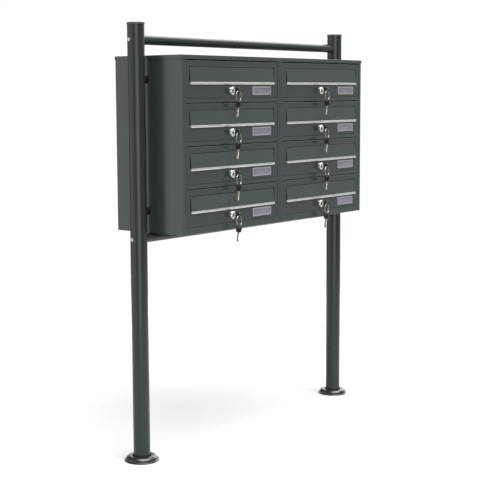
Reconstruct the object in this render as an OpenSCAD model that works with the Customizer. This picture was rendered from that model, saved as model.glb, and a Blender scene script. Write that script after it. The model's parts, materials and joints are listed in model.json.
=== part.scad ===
// Cluster mailbox unit: two cabinets of stacked letter boxes between two round posts.
// +Z is up and the doors face -Y. The origin is on the floor, midway between the posts
// and in the middle of the unit's whole depth, keys included.

/* [Stand] */
// Height of a post without its cap
post_height = 1281; // [1200:1:1500]
// Outside diameter of a post
post_dia = 50; // [45:0.5:60]
// Wall of a post
post_wall = 2; // [1.5:0.5:3]
// Outside diameter of the two cross rails
rail_dia = 28; // [24:1:32]
// Height of the upper rail's centre above the cabinets' top
rail_rise = 44; // [40:1:60]
// Clear gap between a post and the cabinet beside it
post_gap = 16; // [12:1:30]
// Outside diameter of the rosette at a post's foot
rosette_dia = 104; // [100:1:130]
// Bolt circle of the anchor holes in a foot
anchor_pcd = 70; // [68:0.5:71]
// Diameter of an anchor hole
anchor_hole_dia = 9; // [7:0.5:10]

/* [Cabinets] */
// Width of one cabinet with its share of the seam
column_w = 468; // [440:1:520]
// Height from one door to the next
row_pitch = 124; // [120:1:150]
// Depth of a cabinet
cabinet_d = 260; // [240:1:400]
// Height of the cabinets' underside above the floor
cabinet_z = 678; // [600:1:800]
// Gap between the two cabinets
seam = 2; // [1:0.5:4]
// Thickness of the cabinet and door sheet
sheet = 1.5; // [1:0.1:2]
// Width of the face frame beside the doors, and height of the bars between them
bar = 12; // [10:1:16]
// Height of the face frame below the lowest door
sill = 20; // [16:1:30]

/* [Doors and flaps] */
// Gap beside a door
door_gap = 1.5; // [1:0.1:2]
// Gap above a door
door_top_gap = 2.6; // [2.5:0.1:3]
// Depth of a door's folded edges
door_d = 12; // [11:0.5:12]
// Width of a mail flap
flap_w = 398; // [380:1:400]
// Height of a mail flap with its edge strip
flap_h = 50; // [46:1:54]
// Drop from the top of the door opening to the flap
flap_drop = 21.5; // [20:0.5:26]
// Width of the mail slot behind the flap
slot_w = 380; // [330:1:380]
// Height of the mail slot
slot_h = 33; // [30:1:34]
// Height of the bright edge strip
strip_h = 6.5; // [6:0.5:9]

/* [Locks and keys] */
// Lock axis, right of a door's middle
lock_x = -7; // [-40:1:10]
// Lock axis, above a door's lower edge
lock_up = 21; // [20:0.5:24]
// Diameter of the lock's face
lock_face_dia = 23; // [20:0.5:24]
// Diameter of the lock body
lock_body_dia = 16; // [15:0.5:18]
// Reach of the cam from the lock axis
cam_reach = 27; // [26:0.5:29]
// Mean diameter of the key ring
ring_dia = 32; // [30:1:34]
// Middle of the name plate, right of a door's middle
plate_x = 137; // [100:1:150]
// Width of the name plate
plate_w = 93; // [70:1:100]
// Height of the name plate
plate_h = 26; // [22:1:30]

/* [Hidden] */
$fn = 48;
row_count = 4;
sides = ["left", "right"];
compartment_parts = ["door", "flap", "lock", "lock_core", "keys"];

clear = 0.2;
running = 0.08;
seated = 0.05;

// Cabinets
unit_w = 2 * column_w;
casing_w = column_w - seam / 2;
opening_w = column_w - 2 * bar;
opening_h = row_pitch - bar;
casing_h = bar - sheet + row_count * row_pitch - bar + sill;
cabinet_top = cabinet_z + casing_h + sheet;
first_opening_top = cabinet_top - bar;
return_d = door_d + 2;
strike_d = door_d + 0.5;

// Doors
door_w = opening_w - 2 * door_gap;
door_h = opening_h - door_top_gap - 1;
door_bottom = -door_top_gap - door_h;
door_bend_r = 1.5;
hinge_y = 5;
hinge_z = -7;
hinge_pin_dia = 4;

// Mail flap, in a pocket of the door
pocket_d = 6.5;
pocket_side = 2.3;
pocket_top = -flap_drop + 1.5;
pocket_bottom = -flap_drop - flap_h + strip_h + 1;
flap_axis_y = 3.2;
flap_axis_z = -flap_drop - 3;
flap_curl_r = 2.6;
flap_sheet = 1.2;
flap_lean = 4.2;
flap_rod_dia = 3;
slot_top = flap_axis_z - 5;
flap_rod_l = flap_w + 12;
strip_d = 3.8;
strip_w = flap_w + 3;
strip_end_r = 2;
strip_back = 0.4;
groove_d = 2;
groove_in = 1.45;

// Lock, keys and name plate
lock_z = door_bottom + lock_up;
lock_face_h = 4.4;
lock_face_bevel = 1;
lock_body_l = 12.8;
plug_dia = 11.6;
plug_front = lock_face_h + 0.4;
cam_y = door_d + 1.2;
cam_t = 2;
cam_w = 14;
tail_w = 7;
keyway_w = 2.4;
keyway_h = 9;
keyway_l = 17;
key_in = 10;
blade_t = 2;
blade_h = 8;
bow_t = 5;
bow_w = 19;
bow_l = 18;
bow_r = 5;
bow_y = -11;
bow_hole_r = 2.7;
bow_hole_in = 4;
key_hole_y = bow_y - bow_l + bow_hole_in;
ring_wire_dia = 1.8;
spare_bow_l = 23;
spare_blade_l = 28;
plate_t = 2;

// Places
key_reach = -key_hole_y + bow_w / 2;
front_y = -(cabinet_d - key_reach) / 2 - sheet / 2;
post_x = column_w + post_gap + post_dia / 2;
post_y = front_y + cabinet_d / 2 + 7;
upper_rail_z = cabinet_top + rail_rise;
lower_rail_z = cabinet_z - rail_dia / 2;
upper_bolt_z = cabinet_top - 69;
lower_bolt_z = cabinet_z + 64;
rail_bolt_dia = 6;
cabinet_bolt_dia = 8;
rivet_nut_dia = 11;
joining_bolt_dia = 6;
foot_t = 5;
foot_dia = rosette_dia - 14;
rosette_h = 15;
cap_h = 6;

// Flat plate with round corners, drawn in the XY plane
module rounded_rect(w, h, r) {
    square([w - 2 * r, h], center = true);
    square([w, h - 2 * r], center = true);
    for (x = [-1, 1])
        for (y = [-1, 1])
            translate([x * (w / 2 - r), y * (h / 2 - r)]) circle(r = r);
}

module at_posts() {
    for (side = [-1, 1]) translate([side * post_x, post_y, 0]) children();
}

// Faces along +X on the left and along -X on the right
module at_rail_ends() {
    for (side = [0, 1])
        for (z = [lower_rail_z, upper_rail_z])
            mirror([side, 0, 0]) translate([-post_x, post_y, z]) rotate([0, 90, 0]) children();
}

module at_cabinet_bolts() {
    for (side = [0, 1])
        for (z = [lower_bolt_z, upper_bolt_z])
            mirror([side, 0, 0]) translate([-post_x, post_y, z]) rotate([0, 90, 0]) children();
}

// Middle of a door opening's upper edge, on the cabinets' front face
module at_opening(column, row) {
    translate([(column - 0.5) * column_w, front_y, first_opening_top - (row - 1) * row_pitch])
        children();
}

module hex_head(across, h) {
    cylinder(d = across / cos(30), h = h, $fn = 6);
}

// Stand
module post() {
    color("#3b4144") difference() {
        cylinder(d = post_dia, h = post_height, $fn = 96);
        translate([0, 0, -1]) cylinder(d = post_dia - 2 * post_wall, h = post_height + 2, $fn = 96);
        for (z = [lower_rail_z, upper_rail_z])
            translate([0, 0, z]) rotate([0, 90, 0])
                cylinder(d = rail_bolt_dia + 2 * clear, h = 2 * post_dia, center = true);
        for (z = [lower_bolt_z, upper_bolt_z])
            translate([0, 0, z]) rotate([0, 90, 0]) cylinder(d = rivet_nut_dia, h = post_dia);
    }
}

module post_left() {
    translate([-post_x, post_y, 0]) post();
}

module post_right() {
    mirror([1, 0, 0]) post_left();
}

module post_caps() {
    color("#2e3335") at_posts() translate([0, 0, post_height]) {
        rotate_extrude($fn = 96) {
            square([post_dia / 2 + 0.2, cap_h]);
            square([post_dia / 2 + 1.2, cap_h - 1.2]);
        }
        translate([0, 0, -14]) cylinder(d = post_dia - 2 * post_wall - clear, h = 15, $fn = 96);
    }
}

module base_plates() {
    color("#4a4f52") at_posts() difference() {
        cylinder(d = foot_dia, h = foot_t, $fn = 96);
        translate([0, 0, -1]) cylinder(d = post_dia, h = foot_t + 2, $fn = 96);
        for (turn = [45 : 90 : 315])
            rotate(turn) translate([anchor_pcd / 2, 0, -1]) cylinder(d = anchor_hole_dia, h = foot_t + 2);
    }
}

// Cover over the base plate: a flat brim, a round shoulder and a gap round the post
module base_rosettes() {
    inner = post_dia / 2 + 3.5;
    rim = rosette_dia / 2;
    brim_w = 5;
    brim_t = 3.2;
    shoulder_r = rosette_h - brim_t - 0.8;
    shoulder_x = rim - brim_w - shoulder_r;
    shoulder = [for (turn = [0 : 10 : 90]) [cos(turn), sin(turn)]];
    color("#3b4144") at_posts() rotate_extrude($fn = 96) polygon(concat(
        [[rim - brim_w - sheet, 0], [rim, 0], [rim, brim_t - 0.6], [rim - 0.6, brim_t]],
        [for (p = shoulder) [shoulder_x + shoulder_r * p.x, brim_t + 0.8 + shoulder_r * p.y]],
        [[inner, rosette_h - 0.5], [inner, rosette_h - 0.5 - sheet]],
        [for (i = [len(shoulder) - 1 : -1 : 0])
            [shoulder_x + (shoulder_r - sheet) * shoulder[i].x,
             brim_t + 0.8 + (shoulder_r - sheet) * shoulder[i].y]]));
}

// Tube between the posts, its ends cut to the posts' curve
module rail(z) {
    color("#3b4144") translate([0, post_y, z]) difference() {
        rotate([0, 90, 0]) difference() {
            cylinder(d = rail_dia, h = 2 * post_x, center = true, $fn = 64);
            cylinder(d = rail_dia - 2 * post_wall, h = 2 * post_x + 2, center = true, $fn = 64);
        }
        for (side = [-1, 1])
            translate([side * post_x, 0, -rail_dia]) cylinder(d = post_dia, h = 2 * rail_dia, $fn = 96);
    }
}

module rail_plugs() {
    color("#9a9c9c") at_rail_ends() translate([0, 0, post_dia / 2 + 4]) difference() {
        cylinder(d = rail_dia - 2 * post_wall, h = 22);
        translate([0, 0, -1]) cylinder(d = rail_bolt_dia, h = 24);
    }
}

module rail_bolts() {
    color("#c8cacb") at_rail_ends() translate([0, 0, -post_dia / 2]) {
        cylinder(d = rail_bolt_dia, h = post_dia + 24);
        translate([0, 0, -1]) difference() {
            cylinder(d = 12, h = 3);
            translate([0, 0, 1 + post_dia / 2]) rotate([0, 90, 0])
                cylinder(d = post_dia, h = 20, center = true, $fn = 96);
        }
        translate([0, 0, -5]) hex_head(10, 4.2);
    }
}

// Sleeves that hold the cabinets clear of the posts
module spacers() {
    color("#17191a") at_cabinet_bolts() difference() {
        cylinder(d = 22, h = post_dia / 2 + post_gap);
        translate([0, 0, -1]) cylinder(d = cabinet_bolt_dia + 2 * clear, h = post_dia + post_gap);
        rotate([0, 90, 0]) cylinder(d = post_dia, h = 30, center = true, $fn = 96);
    }
}

module cabinet_bolts() {
    inner_face = post_dia / 2 + post_gap + sheet;
    color("#c8cacb") at_cabinet_bolts() {
        translate([0, 0, post_dia / 2 - 8]) cylinder(d = cabinet_bolt_dia, h = inner_face - post_dia / 2 + 9);
        translate([0, 0, inner_face]) cylinder(d = 17, h = 1.2);
        translate([0, 0, inner_face + 1.2]) hex_head(13, 4);
    }
}

module rivet_nuts() {
    color("#9a9c9c") at_cabinet_bolts() translate([0, 0, post_dia / 2 - 14]) difference() {
        cylinder(d = rivet_nut_dia, h = 13);
        translate([0, 0, -1]) cylinder(d = cabinet_bolt_dia, h = 16);
    }
}

// Cabinets
// Folded casing without a back: its front edge is turned in as a face frame, and turned
// back again beside the doors, where it holds their hinge pins
module casing(column) {
    outer_x = column == 0 ? -column_w : seam / 2;
    middle_x = (column - 0.5) * column_w;
    lower_edge = first_opening_top - row_count * row_pitch + bar;
    opening_span = first_opening_top - lower_edge;
    color("#3b4144") difference() {
        union() {
            difference() {
                translate([outer_x, front_y, cabinet_z]) cube([casing_w, cabinet_d, casing_h]);
                translate([outer_x + sheet, front_y + sheet, cabinet_z + sheet])
                    cube([casing_w - 2 * sheet, cabinet_d, casing_h - 2 * sheet]);
                translate([middle_x - opening_w / 2, front_y - 1, lower_edge])
                    cube([opening_w, sheet + 2, opening_span]);
            }
            for (edge = [-1, 1])
                translate([middle_x + edge * (opening_w + sheet) / 2 - sheet / 2, front_y, lower_edge - 1])
                    cube([sheet, return_d, opening_span + 2]);
            translate([middle_x - opening_w / 2, front_y, lower_edge - sheet])
                cube([opening_w, strike_d, sheet]);
        }
        for (row = [1 : row_count])
            at_opening(column, row) translate([0, hinge_y, hinge_z]) rotate([0, 90, 0])
                cylinder(d = hinge_pin_dia, h = opening_w + 8, center = true);
        mirror([1 - column, 0, 0])
            for (z = [lower_bolt_z, upper_bolt_z])
                translate([column_w, post_y, z]) rotate([0, 90, 0])
                    cylinder(d = cabinet_bolt_dia + 2 * clear, h = 10, center = true);
        at_joining_bolts() cylinder(d = joining_bolt_dia, h = 20, center = true);
    }
}

module cabinet_left() {
    casing(0);
}

module cabinet_right() {
    casing(1);
}

module back_panels() {
    back_w = casing_w - 2 * sheet;
    color("#33383a") for (edge = [sheet - column_w, seam / 2 + sheet])
        translate([edge, front_y + cabinet_d - sheet, cabinet_z + sheet])
            cube([back_w, sheet, casing_h - 2 * sheet]);
}

// Shelf, with its front turned up as the bar between two doors and turned back as a
// strike for the lock's cam
module shelf(column) {
    wide = casing_w - 2 * sheet - clear;
    wide_x = (column == 0 ? -column_w : seam / 2) + sheet + clear / 2 - (column - 0.5) * column_w;
    color("#3b4144") {
        translate([-opening_w / 2, 0, 0]) cube([opening_w, sheet, bar]);
        translate([-opening_w / 2, 0, 0]) cube([opening_w, return_d + 1, sheet]);
        translate([-opening_w / 2, 0, bar - sheet]) cube([opening_w, strike_d, sheet]);
        translate([wide_x, return_d, 0]) cube([wide, cabinet_d - return_d - 2 * sheet, sheet]);
    }
}

module shelves() {
    for (column = [0, 1])
        for (row = [2 : row_count])
            at_opening(column, row) shelf(column);
}

// Lid over both cabinets, with a short lip all round
module top_cover() {
    lip_h = bar - 1;
    color("#3b4144") translate([0, front_y + cabinet_d / 2, cabinet_top - lip_h]) difference() {
        linear_extrude(lip_h) rounded_rect(unit_w + 2 * sheet, cabinet_d + 2 * sheet, sheet);
        translate([-column_w, -cabinet_d / 2, -1]) cube([unit_w, cabinet_d, lip_h - sheet + 1]);
    }
}

module at_joining_bolts() {
    for (y = [0.25, 0.8])
        for (z = [lower_bolt_z, upper_bolt_z])
            translate([0, front_y + y * cabinet_d, z]) rotate([0, 90, 0]) children();
}

module joining_bolts() {
    wall_in = seam / 2 + sheet;
    color("#c8cacb") at_joining_bolts() {
        cylinder(d = joining_bolt_dia, h = 2 * wall_in + 10, center = true);
        translate([0, 0, wall_in]) hex_head(10, 4);
        translate([0, 0, -wall_in - 5]) hex_head(10, 5);
        cylinder(d = 12, h = seam, center = true);
    }
}

module hinge_pins() {
    color("#c8cacb") for (column = [0, 1])
        for (row = [1 : row_count])
            at_opening(column, row) for (edge = [0, 1])
                mirror([edge, 0, 0]) translate([opening_w / 2, hinge_y, hinge_z]) rotate([0, 90, 0]) {
                    translate([0, 0, -6]) cylinder(d = hinge_pin_dia, h = 8.5);
                    translate([0, 0, sheet]) cylinder(d = 7, h = 1.5);
                }
}

// Doors, from here on each drawn about the middle of its opening's upper edge
// Section through the tray's outside: flat front along the X axis, rounded at both folds
module tray_outline(w) {
    translate([-w / 2 + door_bend_r, 0]) square([w - 2 * door_bend_r, door_d]);
    translate([-w / 2, door_bend_r]) square([w, door_d - door_bend_r]);
    for (edge = [-1, 1]) translate([edge * (w / 2 - door_bend_r), door_bend_r]) circle(r = door_bend_r);
}

module door_tray() {
    difference() {
        intersection() {
            translate([0, 0, door_bottom]) linear_extrude(door_h) tray_outline(door_w);
            translate([-door_w / 2, 0, door_bottom + door_h / 2]) rotate([0, 90, 0])
                linear_extrude(door_w) tray_outline(door_h);
        }
        translate([-door_w / 2 + sheet, sheet, door_bottom + sheet])
            cube([door_w - 2 * sheet, door_d, door_h - 2 * sheet]);
    }
}

// Tray with a shallow pocket that holds the flap and has the mail slot in its floor
module door() {
    pocket_w = strip_w + 2 * pocket_side;
    color("#4a4f50") difference() {
        union() {
            door_tray();
            translate([-pocket_w / 2 - sheet, 0, pocket_bottom - sheet])
                cube([pocket_w + 2 * sheet, pocket_d + sheet, pocket_top - pocket_bottom + 2 * sheet]);
        }
        translate([-pocket_w / 2, -1, pocket_bottom])
            cube([pocket_w, pocket_d + 1, pocket_top - pocket_bottom]);
        translate([-slot_w / 2, 0, slot_top - slot_h]) cube([slot_w, 2 * pocket_d, slot_h]);
        translate([0, flap_axis_y, flap_axis_z]) rotate([0, 90, 0])
            cylinder(d = flap_rod_dia + 2 * running, h = pocket_w + 10, center = true);
        translate([0, hinge_y, hinge_z]) rotate([0, 90, 0])
            cylinder(d = hinge_pin_dia + 2 * running, h = door_w + 2, center = true);
        translate([lock_x, 0, lock_z]) rotate([90, 0, 0])
            cylinder(d = lock_body_dia + clear, h = 10, center = true);
    }
    name_plate();
}

// Frame with a raised rim round a name card
module name_plate() {
    border = 4.5;
    translate([plate_x, -seated, lock_z]) rotate([90, 0, 0]) {
        color("#a3a5a6") linear_extrude(plate_t) difference() {
            rounded_rect(plate_w, plate_h, 1.5);
            rounded_rect(plate_w - 2 * border, plate_h - 2 * border, 0.8);
        }
        color("#6c6a76") linear_extrude(plate_t - 1)
            rounded_rect(plate_w - 2 * border - clear, plate_h - 2 * border - clear, 0.8);
    }
}

// Flap with a rolled upper edge on a rod, and a bright strip along its lower edge
module flap() {
    plate_l = flap_axis_z + flap_drop + flap_h - strip_h + groove_d - 0.5;
    color("#545b59") translate([0, flap_axis_y, flap_axis_z]) {
        difference() {
            union() {
                rotate([0, 90, 0]) cylinder(r = flap_curl_r, h = flap_w, center = true);
                rotate([-flap_lean, 0, 0])
                    translate([-flap_w / 2, -flap_curl_r, -plate_l]) cube([flap_w, flap_sheet, plate_l]);
            }
            rotate([0, 90, 0]) cylinder(d = flap_rod_dia + 2 * seated, h = flap_w + 2, center = true);
        }
    }
    color("#b5b7b7") translate([0, flap_axis_y, flap_axis_z]) rotate([0, 90, 0])
        cylinder(d = flap_rod_dia, h = flap_rod_l, center = true);
    color("#d4d6d5") translate([0, -strip_back, -flap_drop - flap_h]) intersection() {
        rotate([90, 0, 90]) linear_extrude(strip_w, center = true) strip_profile();
        translate([0, 1, strip_h / 2]) rotate([90, 0, 0])
            linear_extrude(strip_d + 2) rounded_rect(strip_w, strip_h, strip_end_r);
    }
}

// Drawn in the XY plane: depth towards -X, height along +Y, with a bulged front
module strip_profile() {
    bulge_r = strip_h;
    groove_w = flap_sheet + 2 * clear;
    difference() {
        intersection() {
            translate([-strip_d, 0]) square([strip_d, strip_h]);
            translate([-strip_d + bulge_r, strip_h / 2]) circle(r = bulge_r, $fn = 64);
        }
        translate([-groove_in - groove_w / 2, strip_h - groove_d]) square([groove_w, groove_d + 1]);
    }
}

// Lock body with its face, and the nut behind the door
module lock() {
    color("#cfd2d3") translate([lock_x, 0, lock_z]) rotate([-90, 0, 0]) difference() {
        union() {
            translate([0, 0, lock_face_bevel - lock_face_h])
                cylinder(d = lock_face_dia, h = lock_face_h - lock_face_bevel);
            translate([0, 0, -lock_face_h])
                cylinder(d1 = lock_face_dia - 2.5 * lock_face_bevel, d2 = lock_face_dia, h = lock_face_bevel);
            cylinder(d = lock_body_dia, h = lock_body_l);
        }
        translate([0, 0, -lock_face_h - 1])
            cylinder(d = plug_dia + 2 * running, h = lock_body_l + lock_face_h + 2);
    }
    color("#9a9c9c") translate([lock_x, sheet, lock_z]) rotate([-90, 0, 0]) difference() {
        hex_head(21, 4);
        translate([0, 0, -1]) cylinder(d = lock_body_dia + 2 * seated, h = 6);
    }
}

// Turning plug, its cam and screw, and the key in it. The cam lies level at rest.
module lock_core() {
    translate([lock_x, 0, lock_z]) rotate([-90, 0, 0]) {
        color("#cfd2d3") difference() {
            union() {
                translate([0, 0, -plug_front]) cylinder(d = plug_dia, h = lock_body_l + plug_front);
                translate([-tail_w / 2, -tail_w / 2, lock_body_l - 1])
                    cube([tail_w, tail_w, cam_y + cam_t - lock_body_l + 1]);
            }
            translate([-keyway_w / 2, -keyway_h / 2, -plug_front - 1]) cube([keyway_w, keyway_h, keyway_l]);
        }
        color("#8b8d8d") translate([0, 0, cam_y]) linear_extrude(cam_t) difference() {
            union() {
                circle(d = cam_w);
                translate([0, -cam_w / 2 + 1]) square([cam_reach, cam_w - 2]);
            }
            square(tail_w + 2 * seated, center = true);
        }
        color("#c8cacb") translate([0, 0, cam_y + cam_t + seated]) cylinder(d = 10, h = 2.5);
        key_blade(key_in - bow_y, bow_y);
        color("#141516") translate([0, 0, bow_y - bow_l / 2]) rotate([0, 90, 0])
            linear_extrude(bow_t, center = true) difference() {
                rounded_rect(bow_l, bow_w, bow_r);
                translate([bow_l / 2 - bow_hole_in, 0]) circle(r = bow_hole_r);
            }
    }
}

// Flat blade with cuts along one edge, from z onwards
module key_blade(l, z) {
    cut_pitch = 4;
    color("#c9c7c0") translate([-blade_t / 2, -blade_h / 2, z]) difference() {
        cube([blade_t, blade_h, l]);
        for (cut = [1 : floor(l / cut_pitch) - 1])
            translate([-1, -1, l - cut * cut_pitch]) cube([blade_t + 2, 1.8 + (cut % 3) * 0.6, 1.6]);
    }
}

// Ring through the inserted key's head, and the spare key that hangs on it
module keys() {
    ring_r = ring_dia / 2;
    translate([lock_x, key_hole_y, lock_z - ring_r]) {
        color("#b9b5ab") rotate([90, 0, 0]) rotate_extrude($fn = 64)
            translate([ring_r, 0]) circle(d = ring_wire_dia, $fn = 24);
        translate([0, 0, -ring_r + bow_hole_in]) {
            color("#141516") translate([0, 0, -spare_bow_l / 2]) rotate([0, 90, 0])
                linear_extrude(bow_t, center = true) difference() {
                    rounded_rect(spare_bow_l, bow_w, bow_r);
                    translate([bow_hole_in - spare_bow_l / 2, 0]) circle(r = bow_hole_r);
                }
            mirror([0, 0, 1]) key_blade(spare_blade_l, spare_bow_l);
        }
    }
}

post_left();
post_right();
post_caps();
base_plates();
base_rosettes();
rail(upper_rail_z);  // top_rail
rail(lower_rail_z);  // bottom_rail
rail_plugs();
rail_bolts();
cabinet_left();
cabinet_right();
back_panels();
shelves();
top_cover();
spacers();
cabinet_bolts();
rivet_nuts();
joining_bolts();
hinge_pins();
for (column = [0, 1]) {
    for (row = [1 : row_count]) {
        place = str("_", sides[column], "_", row);
        at_opening(column, row) door();
        at_opening(column, row) flap();
        at_opening(column, row) lock();
        at_opening(column, row) lock_core();
        at_opening(column, row) keys();
    }
}
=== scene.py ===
import json
import math

import bmesh
import bpy
from mathutils import Matrix, Vector


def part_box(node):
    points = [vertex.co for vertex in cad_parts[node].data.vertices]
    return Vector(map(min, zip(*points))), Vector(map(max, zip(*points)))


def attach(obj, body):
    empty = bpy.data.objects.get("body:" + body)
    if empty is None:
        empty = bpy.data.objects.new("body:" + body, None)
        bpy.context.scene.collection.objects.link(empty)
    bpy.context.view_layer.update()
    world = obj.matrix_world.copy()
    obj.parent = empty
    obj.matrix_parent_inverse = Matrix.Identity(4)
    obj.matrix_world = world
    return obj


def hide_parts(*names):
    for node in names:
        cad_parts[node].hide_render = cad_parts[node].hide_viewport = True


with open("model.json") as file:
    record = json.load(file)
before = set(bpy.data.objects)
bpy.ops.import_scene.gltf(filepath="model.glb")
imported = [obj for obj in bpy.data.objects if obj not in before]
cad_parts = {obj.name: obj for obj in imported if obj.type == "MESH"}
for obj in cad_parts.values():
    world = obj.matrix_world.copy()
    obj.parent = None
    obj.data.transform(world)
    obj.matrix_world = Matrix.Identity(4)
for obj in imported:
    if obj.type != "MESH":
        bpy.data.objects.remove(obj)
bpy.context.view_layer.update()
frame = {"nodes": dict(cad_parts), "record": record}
record = frame["record"]
scene = bpy.context.scene

MM = 0.001
TAU = 2 * math.pi
TAGS = [f"{side}_{row}" for side in ("left", "right") for row in (1, 2, 3, 4)]
JOINTS = {joint["name"]: joint for joint in record["behaviour"]["joints"]}

# Camera: lens and sensor in mm, place in metres, angles in radians
LENS = 89.70
SENSOR = 36
EYE = (-3.04612, -2.35507, 1.08564)
YAW, PITCH, ROLL = 0.90265, 0.12246, -0.00444

# Light from all round: an even level, and zones as (direction, inner and outer radius in degrees, level)
SURROUNDINGS = 0.18
ZONES = (
    ((0.78, 0.61, -0.08), 20, 32, 1.02),  # behind the unit, seen from the camera
    ((-0.78, 0.61, -0.1), 22, 48, 1.5),  # what the left side panel mirrors
    ((0.78, -0.61, -0.12), 12, 32, 0.62),  # what the doors mirror
    ((-0.78, -0.61, 0.25), 10, 30, 1.5),  # around and above the camera
    ((0.78, 0.14, 0.50), 16, 36, 4.5),  # what surfaces facing up and forwards mirror
    ((-0.61, -0.78, -0.05), 8, 22, 3.5),  # what upright surfaces facing front left mirror
)
OVERHEAD_DIRECTION = (0.05, 0.40, -1)
OVERHEAD_SPREAD = 60
OVERHEAD_STRENGTH = 10

# Floor disc, in metres: the drop keeps it just under the feet
FLOOR_RADIUS = 2.6
FLOOR_SIDES = 96
FLOOR_DROP = 0.0005

# Keys, in mm. HOLE_IN is the hole's distance from the head's end. Heads are given by length, blades by where
# they start and end beyond the hole.
HEAD_WIDTH, HEAD_THICK, HEAD_CORNER = 19, 5, 5
HOLE_IN, HOLE_R = 4, 2.7
INSERTED_HEAD, INSERTED_BLADE = 18, (12.4, 34.6)
SPARE_HEAD, SPARE_BLADE = 23, (17.6, 46.8)
BLADE_HALF_HEIGHT, BLADE_HALF_THICK, GROOVE_HALF_THICK = 4, 1, 0.55
RING_R, WIRE_R = 16, 0.47
RING_TURN = math.radians(11)

# Hanging keys' angles: middle and spread in degrees, then the rate and start of the sine that spreads them
LEAN = (1.5, 0.5, 2.1, 0.4)
TILT = (8, 1.5, 1.7, 1.0)

# Least sizes in metres that tell the larger solids of one node from its smaller ones
MIN_TRAY_WIDTH, MIN_PLATE_WIDTH = 0.2, 0.088
MIN_FLAP_HEIGHT, MIN_STRIP_HEIGHT = 0.02, 0.005
MIN_PLUG_LENGTH = 0.015

# Edges: the sheet metal's rounding in metres, then in degrees the angle from which an edge counts as sharp
# and the one below which two faces count as flat. Vertices closer than SAME_PLACE metres are one.
SHEET_EDGE = 0.6 * MM
EDGE_SEGMENTS = 2
SHARP_EDGE = 35
FLAT_EDGE = 0.5
SAME_PLACE = 1e-6


# Camera, floor and light
def make_camera():
    data = bpy.data.cameras.new("camera")
    data.sensor_width = SENSOR
    data.lens = LENS
    data.clip_start = 0.1
    data.clip_end = 100
    cam = bpy.data.objects.new("camera", data)
    scene.collection.objects.link(cam)
    heading = Matrix.Rotation(-YAW, 4, "Z")
    tilt = Matrix.Rotation(math.pi / 2 - PITCH, 4, "X")
    turn = heading @ tilt @ Matrix.Rotation(ROLL, 4, "Z")
    cam.matrix_world = Matrix.Translation(EYE) @ turn
    scene.camera = cam


def sun_light(name, direction, spread, strength):
    data = bpy.data.lights.new(name, "SUN")
    data.angle = math.radians(spread)
    data.energy = strength
    light = bpy.data.objects.new(name, data)
    scene.collection.objects.link(light)
    light.rotation_mode = "QUATERNION"
    light.rotation_quaternion = Vector(direction).to_track_quat("-Z", "Y")


def zone_level(tree, coords, direction, inner, outer, level):
    """Brightness of one zone: level inside its inner radius, falling smoothly to the even level outside."""
    dot = tree.nodes.new("ShaderNodeVectorMath")
    dot.operation = "DOT_PRODUCT"
    tree.links.new(coords.outputs["Generated"], dot.inputs[0])
    dot.inputs[1].default_value = Vector(direction).normalized()
    ramp = tree.nodes.new("ShaderNodeMapRange")
    ramp.interpolation_type = "SMOOTHSTEP"
    ramp.inputs["From Min"].default_value = math.cos(math.radians(outer))
    ramp.inputs["From Max"].default_value = math.cos(math.radians(inner))
    ramp.inputs["To Min"].default_value = SURROUNDINGS
    ramp.inputs["To Max"].default_value = level
    tree.links.new(dot.outputs["Value"], ramp.inputs["Value"])
    return ramp.outputs["Result"]


def make_world():
    """White surroundings, as bright in each direction as the brightest zone there."""
    world = bpy.data.worlds.new("studio")
    scene.world = world
    world.use_nodes = True
    tree = world.node_tree
    coords = tree.nodes.new("ShaderNodeTexCoord")
    brightest = None
    for zone in ZONES:
        level = zone_level(tree, coords, *zone)
        if brightest is None:
            brightest = level
            continue
        higher = tree.nodes.new("ShaderNodeMath")
        higher.operation = "MAXIMUM"
        tree.links.new(brightest, higher.inputs[0])
        tree.links.new(level, higher.inputs[1])
        brightest = higher.outputs[0]
    background = tree.nodes["Background"]
    tree.links.new(brightest, background.inputs["Strength"])
    background.inputs["Color"].default_value = (1, 1, 1, 1)


def make_floor():
    bm = bmesh.new()
    bmesh.ops.create_circle(bm, cap_ends=True, cap_tris=False, segments=FLOOR_SIDES, radius=FLOOR_RADIUS)
    mesh = bpy.data.meshes.new("floor")
    bm.to_mesh(mesh)
    bm.free()
    floor = bpy.data.objects.new("floor", mesh)
    scene.collection.objects.link(floor)
    floor.location.z = -FLOOR_DROP
    floor.data.materials.append(floor_material())


def make_stage():
    make_world()
    make_floor()
    sun_light("overhead", OVERHEAD_DIRECTION, OVERHEAD_SPREAD, OVERHEAD_STRENGTH)
    scene.view_settings.view_transform = "Standard"


# Materials
def new_material(name):
    mat = bpy.data.materials.new(name)
    mat.use_nodes = True
    tree = mat.node_tree
    return mat, tree, tree.nodes["Principled BSDF"]


def add(tree, kind, **settings):
    node = tree.nodes.new(kind)
    for key, value in settings.items():
        setattr(node, key, value)
    return node


def noise(tree, scale, detail=3.0, stretch=(1, 1, 1)):
    coords = add(tree, "ShaderNodeTexCoord")
    mapping = add(tree, "ShaderNodeMapping")
    mapping.inputs["Scale"].default_value = stretch
    node = add(tree, "ShaderNodeTexNoise")
    node.inputs["Scale"].default_value = scale
    node.inputs["Detail"].default_value = detail
    tree.links.new(coords.outputs["Object"], mapping.inputs["Vector"])
    tree.links.new(mapping.outputs["Vector"], node.inputs["Vector"])
    return node.outputs["Fac"]


def remap(tree, value, low, high):
    """Stretches the middle of a noise's range to low ... high."""
    node = add(tree, "ShaderNodeMapRange")
    node.inputs["From Min"].default_value = 0.3
    node.inputs["From Max"].default_value = 0.7
    node.inputs["To Min"].default_value = low
    node.inputs["To Max"].default_value = high
    tree.links.new(value, node.inputs["Value"])
    return node.outputs["Result"]


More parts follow.
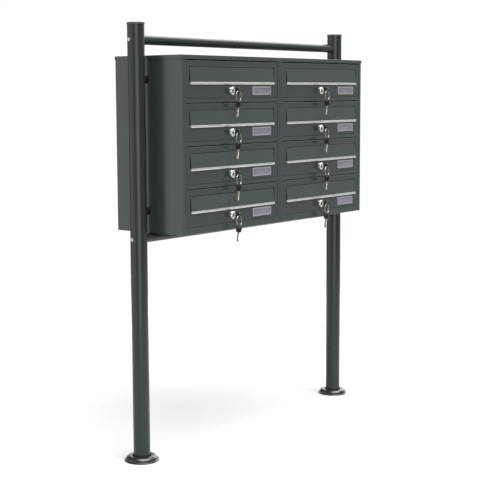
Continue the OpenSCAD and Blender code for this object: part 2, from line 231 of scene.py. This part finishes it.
def mix(tree, factor, a, b):
    node = add(tree, "ShaderNodeMix", data_type="RGBA")
    for socket, value in ((node.inputs[0], factor), (node.inputs[6], a), (node.inputs[7], b)):
        if isinstance(value, tuple):
            socket.default_value = (*value, 1)
        else:
            tree.links.new(value, socket)
    return node.outputs[2]


def bump(tree, bsdf, height, strength, distance):
    node = add(tree, "ShaderNodeBump")
    node.inputs["Strength"].default_value = strength
    node.inputs["Distance"].default_value = distance
    tree.links.new(height, node.inputs["Height"])
    tree.links.new(node.outputs["Normal"], bsdf.inputs["Normal"])


def scaled(colour, k):
    return tuple(min(c * k, 1.0) for c in colour)


def edge_mask(tree, radius):
    """1 on sharp outer edges and 0 on flat faces."""
    bevel = add(tree, "ShaderNodeBevel", samples=4)
    bevel.inputs["Radius"].default_value = radius
    geometry = add(tree, "ShaderNodeNewGeometry")
    dot = add(tree, "ShaderNodeVectorMath", operation="DOT_PRODUCT")
    tree.links.new(bevel.outputs["Normal"], dot.inputs[0])
    tree.links.new(geometry.outputs["Normal"], dot.inputs[1])
    node = add(tree, "ShaderNodeMapRange")
    node.inputs["From Min"].default_value = 0.99
    node.inputs["From Max"].default_value = 0.80
    tree.links.new(dot.outputs["Value"], node.inputs["Value"])
    return node.outputs["Result"]


def shades(tree, pattern, colour, darkest, lightest):
    """Colour that follows a noise from a darker to a lighter shade."""
    return mix(tree, remap(tree, pattern, 0, 1), scaled(colour, darkest), scaled(colour, lightest))


def powder_coat(name, colour, rough=0.22, shine=0.5):
    """Semi-gloss powder coat: orange peel, slow colour drift, fine speckle and a painted highlight on sharp
    edges.
    """
    mat, tree, bsdf = new_material(name)
    drift = shades(tree, noise(tree, scale=4.0), colour, darkest=0.92, lightest=1.08)
    grains = remap(tree, noise(tree, scale=1600, detail=1.0), 0, 0.35)
    light_grain, edge_highlight, highlight_level = scaled(colour, 1.25), scaled(colour, 4), 0.6
    speckle = mix(tree, grains, drift, light_grain)
    # Painted highlight: sharp edges take a far lighter colour, standing in for the bright lines that light
    # draws along them
    highlight_amount = add(tree, "ShaderNodeMath", operation="MULTIPLY")
    tree.links.new(edge_mask(tree, radius=1.5 * MM), highlight_amount.inputs[0])
    highlight_amount.inputs[1].default_value = highlight_level
    tree.links.new(mix(tree, highlight_amount.outputs[0], speckle, edge_highlight), bsdf.inputs["Base Color"])
    patches = remap(tree, noise(tree, scale=9.0), rough - 0.03, rough + 0.03)
    tree.links.new(patches, bsdf.inputs["Roughness"])
    bsdf.inputs["Specular IOR Level"].default_value = shine
    bump(tree, bsdf, noise(tree, scale=420, detail=2.0), strength=0.12, distance=0.3 * MM)
    return mat


def plastic(name, colour, rough, shine=0.5):
    """Moulded plastic with a fine grain."""
    mat, tree, bsdf = new_material(name)
    shade = shades(tree, noise(tree, scale=30), colour, darkest=0.85, lightest=1.15)
    tree.links.new(shade, bsdf.inputs["Base Color"])
    patches = remap(tree, noise(tree, scale=60), rough - 0.05, rough + 0.05)
    tree.links.new(patches, bsdf.inputs["Roughness"])
    bsdf.inputs["Specular IOR Level"].default_value = shine
    bump(tree, bsdf, noise(tree, scale=900, detail=2.0), strength=0.25, distance=0.2 * MM)
    return mat


def metal(name, colour, rough, grain=700, stretch=(1, 1, 1), depth=0.15):
    """Bare or plated metal with fine marks, drawn out along an axis where stretch says so."""
    mat, tree, bsdf = new_material(name)
    bsdf.inputs["Metallic"].default_value = 1
    marks = noise(tree, grain, detail=2.0, stretch=stretch)
    shade = shades(tree, marks, colour, darkest=0.94, lightest=1.04)
    tree.links.new(shade, bsdf.inputs["Base Color"])
    tree.links.new(remap(tree, marks, rough * 0.8, rough * 1.25), bsdf.inputs["Roughness"])
    bump(tree, bsdf, marks, depth, distance=0.1 * MM)
    return mat


def floor_material():
    """Matt pale grey ground."""
    mat, tree, bsdf = new_material("floor_pale")
    shade = mix(tree, remap(tree, noise(tree, scale=1.5), 0, 1), (0.36, 0.36, 0.36), (0.37, 0.37, 0.37))
    tree.links.new(shade, bsdf.inputs["Base Color"])
    bsdf.inputs["Roughness"].default_value = 0.7
    bsdf.inputs["Specular IOR Level"].default_value = 0.2
    return mat


# CAD nodes
def solids(node):
    """Polygon indices and box of each separate solid in a CAD node."""
    mesh = frame["nodes"][node].data
    seen = {}
    index = [seen.setdefault(tuple(round(c, 6) for c in v.co), len(seen)) for v in mesh.vertices]
    root = list(range(len(seen)))

    def find(a):
        while root[a] != a:
            root[a] = root[root[a]]
            a = root[a]
        return a

    for poly in mesh.polygons:
        first = find(index[poly.vertices[0]])
        for v in poly.vertices[1:]:
            root[find(index[v])] = first
    groups = {}
    for poly in mesh.polygons:
        groups.setdefault(find(index[poly.vertices[0]]), []).append(poly.index)
    found = []
    for members in groups.values():
        points = [mesh.vertices[v].co for p in members for v in mesh.polygons[p].vertices]
        lo = Vector((min(p[i] for p in points) for i in range(3)))
        hi = Vector((max(p[i] for p in points) for i in range(3)))
        found.append((members, lo, hi))
    return found


def paint(node, *materials, choose=None):
    """Gives a node its materials. choose(low, high) says which one a solid takes."""
    mesh = frame["nodes"][node].data
    mesh.materials.clear()
    for mat in materials:
        mesh.materials.append(mat)
    if choose:
        for members, lo, hi in solids(node):
            chosen = choose(lo, hi)
            for p in members:
                mesh.polygons[p].material_index = chosen


def door_solid(lo, hi):
    """0 for the tray, 1 for the name plate's frame, 2 for the card."""
    width = hi.x - lo.x
    return 0 if width > MIN_TRAY_WIDTH else 1 if width > MIN_PLATE_WIDTH else 2


def flap_solid(lo, hi):
    """0 for the flap, 1 for its strip, 2 for its rod."""
    height = hi.z - lo.z
    return 0 if height > MIN_FLAP_HEIGHT else 1 if height > MIN_STRIP_HEIGHT else 2


def soften(node):
    """Small rounding of a sheet-metal node's sharp edges."""
    obj = frame["nodes"][node]
    weld = obj.modifiers.new("weld", "WELD")
    weld.merge_threshold = SAME_PLACE
    flat = obj.modifiers.new("flat", "DECIMATE")
    flat.decimate_type = "DISSOLVE"
    flat.angle_limit = math.radians(FLAT_EDGE)
    bevel = obj.modifiers.new("edges", "BEVEL")
    bevel.width = SHEET_EDGE
    bevel.segments = EDGE_SEGMENTS
    bevel.limit_method = "ANGLE"
    bevel.angle_limit = math.radians(SHARP_EDGE)
    bevel.use_clamp_overlap = False


def part_of(node, name, keep):
    """New piece from those solids of a CAD node for which keep(low, high) is true."""
    source = frame["nodes"][node].data
    kept = [p for members, lo, hi in solids(node) if keep(lo, hi) for p in members]
    faces = [list(source.polygons[p].vertices) for p in kept]
    used = sorted({v for face in faces for v in face})
    number = {v: i for i, v in enumerate(used)}
    mesh = bpy.data.meshes.new(name)
    mesh.from_pydata([source.vertices[v].co for v in used], [], [[number[v] for v in face] for face in faces])
    return finish_piece(name, mesh, weld=True)


# Pieces made here
def finish_piece(name, mesh, weld=False, angle=SHARP_EDGE):
    """Object with smooth shading, sharp where two faces meet at angle degrees or more."""
    bm = bmesh.new()
    bm.from_mesh(mesh)
    if weld:
        bmesh.ops.remove_doubles(bm, verts=bm.verts, dist=SAME_PLACE)
    bmesh.ops.recalc_face_normals(bm, faces=bm.faces)
    for face in bm.faces:
        face.smooth = True
    for edge in bm.edges:
        edge.smooth = len(edge.link_faces) == 2 and edge.calc_face_angle(0) < math.radians(angle)
    bm.to_mesh(mesh)
    bm.free()
    obj = bpy.data.objects.new(name, mesh)
    scene.collection.objects.link(obj)
    return obj


def loft(name, rings, closed, to_world, angle):
    """Skin over rings of points in mm. closed joins the last ring to the first, else both ends are capped."""
    count = len(rings[0])
    points = [to_world @ Vector(p) for ring in rings for p in ring]
    faces = []
    last = len(rings) if closed else len(rings) - 1
    for a in range(last):
        b = (a + 1) % len(rings)
        for i in range(count):
            j = (i + 1) % count
            faces.append([a * count + i, a * count + j, b * count + j, b * count + i])
    if not closed:
        faces.append(list(range(count)))
        faces.append([(len(rings) - 1) * count + i for i in reversed(range(count))])
    mesh = bpy.data.meshes.new(name)
    mesh.from_pydata(points, [], faces)
    return finish_piece(name, mesh, angle=angle)


def outline_reach(angle, length):
    """Distance in mm from a key head's hole to the head's rounded outline."""
    def outside(r):
        u = abs(r * math.cos(angle) + HOLE_IN - length / 2) - (length / 2 - HEAD_CORNER)
        v = abs(r * math.sin(angle)) - (HEAD_WIDTH / 2 - HEAD_CORNER)
        return math.hypot(max(u, 0), max(v, 0)) + min(max(u, v), 0) > HEAD_CORNER

    near, far = 0.0, length + HEAD_WIDTH
    halvings = 40
    for _ in range(halvings):
        middle = (near + far) / 2
        if outside(middle):
            far = middle
        else:
            near = middle
    return near


def key_head(name, length, to_world):
    """Moulded head: a raised rim round a shallow grip, and a collar round the ring's hole."""
    half = HEAD_THICK / 2
    shoulder = half - 0.15
    # Upper surface from the outer edge inwards and from the grip to the hole, as (distance from that edge or
    # hole, height). None is the grip's height.
    from_edge = [(0, 0), (0.0, 1.6), (0.12, 2.0), (0.4, shoulder), (0.9, half), (2.1, half), (2.45, shoulder),
                 (2.9, None)]
    from_hole = [(2.0, None), (1.6, shoulder), (1.2, half), (0.5, half), (0.15, shoulder), (0, 2.0), (0, 0)]
    section_span, grip_start, grip_run, grip_depth = 5.4, 3.0, 3.0, 0.55
    around = 120
    columns = []
    for i in range(around):
        angle = TAU * i / around
        reach = outline_reach(angle, length)
        span = reach - HOLE_R
        squeeze = min(1, span / section_span)
        deep = min(max((span - grip_start) / grip_run, 0), 1)
        grip = half - grip_depth * deep * deep * (3 - 2 * deep)
        upper = [(reach - d * squeeze, grip if h is None else h) for d, h in from_edge]
        upper += [(HOLE_R + d * squeeze, grip if h is None else h) for d, h in from_hole]
        section = upper + [(r, -h) for r, h in reversed(upper[1:-1])]
        columns.append([(r * math.cos(angle), r * math.sin(angle), h) for r, h in section])
    return loft(name, columns, True, to_world, angle=50)


def key_blade(name, start, end, to_world):
    """Grooved blade with cuts along its lower edge."""
    # Cuts as (distance from cuts_start towards the head, depth). cuts_start lies that far behind the tip.
    cuts = [(3.2, 1.1), (6.4, 2.0), (9.6, 0.8), (12.8, 1.7), (16.0, 1.3), (19.2, 2.2), (22.4, 0.9)]
    cuts_start, cut_flat, cut_slope = 3.5, 0.6, 1.3
    tip_below, tip_above = 2.6, 1.6
    step, chamfer = 0.35, 0.25
    face, groove = BLADE_HALF_THICK, GROOVE_HALF_THICK
    edge = face - chamfer
    # Outlines as (height, sideways)
    left_groove = [(1.9, -face), (1.6, -groove), (0.4, -groove), (0.1, -face)]
    right_groove = [(0.6, face), (0.9, groove), (2.1, groove), (2.4, face)]
    rings = []
    steps = round((end - start) / step)
    for i in range(steps + 1):
        u = start + (end - start) * i / steps
        back = end - u
        cut = max([0.0] + [d - max(0, abs(back - cuts_start - c) - cut_flat) * cut_slope for c, d in cuts])
        low = -BLADE_HALF_HEIGHT + max(cut, tip_below - back)
        top = BLADE_HALF_HEIGHT - max(0, tip_above - back)
        upper_edge = [(top - chamfer, face), (top, edge), (top, -edge), (top - chamfer, -face)]
        lower_edge = [(low + chamfer, -face), (low, -edge), (low, edge), (low + chamfer, face)]
        rings.append([(u, v, w) for v, w in upper_edge + left_groove + lower_edge + right_groove])
    return loft(name, rings, False, to_world, angle=30)


def split_ring(name, to_world):
    """Two turns of wire side by side, the second reached by a short step."""
    rings = []
    steps, corners = 176, 10
    around_wire = [TAU * k / corners for k in range(corners)]
    end_gap, step_half = 0.35, 0.3
    for i in range(steps + 1):
        angle = end_gap + (2 * TAU - 2 * end_gap) * i / steps
        t = min(max((angle - TAU + step_half) / (2 * step_half), 0), 1)
        side = (t * t * (3 - 2 * t) * 2 - 1) * WIRE_R
        out = Vector((math.sin(angle), 0, math.cos(angle)))
        centre = out * RING_R + Vector((0, side, 0))
        rings.append([tuple(centre + out * (WIRE_R * math.cos(a)) + Vector((0, WIRE_R * math.sin(a), 0)))
                      for a in around_wire])
    return loft(name, rings, False, to_world, angle=50)


def place(origin, u, v):
    """Matrix from a piece's own axes, in mm, to the part's frame."""
    u, v = Vector(u).normalized(), Vector(v).normalized()
    w = u.cross(v)
    turn = Matrix((u, v, w)).transposed().to_4x4()
    return Matrix.Translation(origin) @ turn @ Matrix.Scale(MM, 4)


def below(point, distance):
    """Point a distance in mm under another."""
    return point - Vector((0, 0, distance * MM))


def varied(number, middle, spread, rate, start):
    """Angle in radians, a little different for each key."""
    return math.radians(middle + spread * math.sin(rate * number + start))


def dress(obj, body, node, material):
    obj.data.materials.append(material)
    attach(obj, body)
    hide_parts(node)


def dress_core(tag, hole):
    """Plug and cam with its screw as designed, and the inserted key with a moulded head and a cut blade."""
    node, body = f"lock_core_{tag}", f"core_body_{tag}"
    plug = part_of(node, f"plug_{tag}", lambda lo, hi: hi.y - lo.y > MIN_PLUG_LENGTH and lo.y > hole.y)
    dress(plug, body, node, plug_face_shaded)
    cam = part_of(node, f"cam_{tag}", lambda lo, hi: hi.y - lo.y < MIN_PLUG_LENGTH)
    dress(cam, body, node, zinc)
    inserted = place(hole, (0, 1, 0), (0, 0, 1))
    dress(key_head(f"key_head_{tag}", INSERTED_HEAD, inserted), body, node, key_plastic)
    dress(key_blade(f"key_blade_{tag}", *INSERTED_BLADE, inserted), body, node, nickel)


def dress_keys(tag, hole, number):
    """Ring in the inserted key's hole, and the spare key on it, each hanging a little differently."""
    node, body = f"keys_{tag}", f"keys_body_{tag}"
    across, along = math.cos(RING_TURN), math.sin(RING_TURN)
    ring_axes = place(below(hole, RING_R), (across, along, 0), (-along, across, 0))
    dress(split_ring(f"ring_{tag}", ring_axes), body, node, ring_wire)
    lean = Matrix.Rotation(varied(number, *LEAN), 3, "X")
    swing = Matrix.Rotation(varied(number, *TILT), 3, "Y") @ lean
    hanging = place(below(hole, 2 * RING_R), swing @ Vector((0, 0, -1)), swing @ Vector((0, 1, 0)))
    dress(key_head(f"spare_head_{tag}", SPARE_HEAD, hanging), body, node, key_plastic)
    dress(key_blade(f"spare_blade_{tag}", *SPARE_BLADE, hanging), body, node, nickel)


make_camera()
make_stage()

# Materials in use
# Painted shade: the stand's and the rosettes' coats are darker copies of the one anthracite paint, for the
# shade on the posts and on the rosettes' rims
coat_stand_shaded = powder_coat("coat_stand_shaded", (0.0115, 0.0146, 0.0148), rough=0.26, shine=0.34)
coat_rosette_shaded = powder_coat("coat_rosette_shaded", (0.006, 0.0072, 0.0075), rough=0.28)
coat_cabinet = powder_coat("coat_cabinet", (0.0185, 0.0245, 0.0248))
coat_door = powder_coat("coat_door", (0.0165, 0.0210, 0.0210))
coat_flap = powder_coat("coat_flap", (0.0195, 0.0265, 0.0260))
cap = plastic("cap", (0.03, 0.034, 0.036), rough=0.45)
nylon = plastic("nylon", (0.005, 0.005, 0.0055), rough=0.5, shine=0.15)
zinc = metal("zinc", (0.34, 0.345, 0.35), rough=0.24)
pin = metal("pin", (0.55, 0.55, 0.56), rough=0.25)
chrome = metal("chrome", (0.80, 0.80, 0.81), rough=0.1, depth=0.05)
nickel = metal("nickel", (0.70, 0.68, 0.63), rough=0.22)
ring_wire = metal("ring_wire", (0.42, 0.41, 0.38), rough=0.25)
# Painted shade: the plug's metal is near black for the dark inside its keyway
plug_face_shaded = metal("plug_face_shaded", (0.07, 0.07, 0.07), rough=0.25, depth=0.05)
anodised = metal("anodised", (0.66, 0.68, 0.67), rough=0.30, grain=900, stretch=(0.02, 1, 1), depth=0.1)
frame_metal = metal("frame_metal", (0.44, 0.43, 0.47), rough=0.42)
card = plastic("card", (0.105, 0.100, 0.122), rough=0.3)
key_plastic = plastic("key_plastic", (0.012, 0.012, 0.012), rough=0.35)

# Stand, cabinets and small hardware
for node in ("post_left", "post_right", "top_rail", "bottom_rail", "base_plates"):
    paint(node, coat_stand_shaded)
for node in ("cabinet_left", "cabinet_right", "back_panels", "shelves", "top_cover"):
    paint(node, coat_cabinet)
    soften(node)
for node in ("rail_plugs", "rail_bolts", "cabinet_bolts", "rivet_nuts", "joining_bolts"):
    paint(node, zinc)
paint("base_rosettes", coat_rosette_shaded)
paint("post_caps", cap)
paint("spacers", nylon)
paint("hinge_pins", pin)

# Doors with their flaps, locks and keys
for number, tag in enumerate(TAGS):
    door_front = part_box(f"door_{tag}")[0].y
    paint(f"door_{tag}", coat_door, frame_metal, card, choose=door_solid)
    paint(f"flap_{tag}", coat_flap, anodised, pin, choose=flap_solid)
    paint(f"lock_{tag}", chrome, zinc, choose=lambda lo, hi: 0 if lo.y < door_front + MM else 1)
    hole = Vector(JOINTS[f"keys_swing_{tag}"]["pos_m"])
    dress_core(tag, hole)
    dress_keys(tag, hole, number)
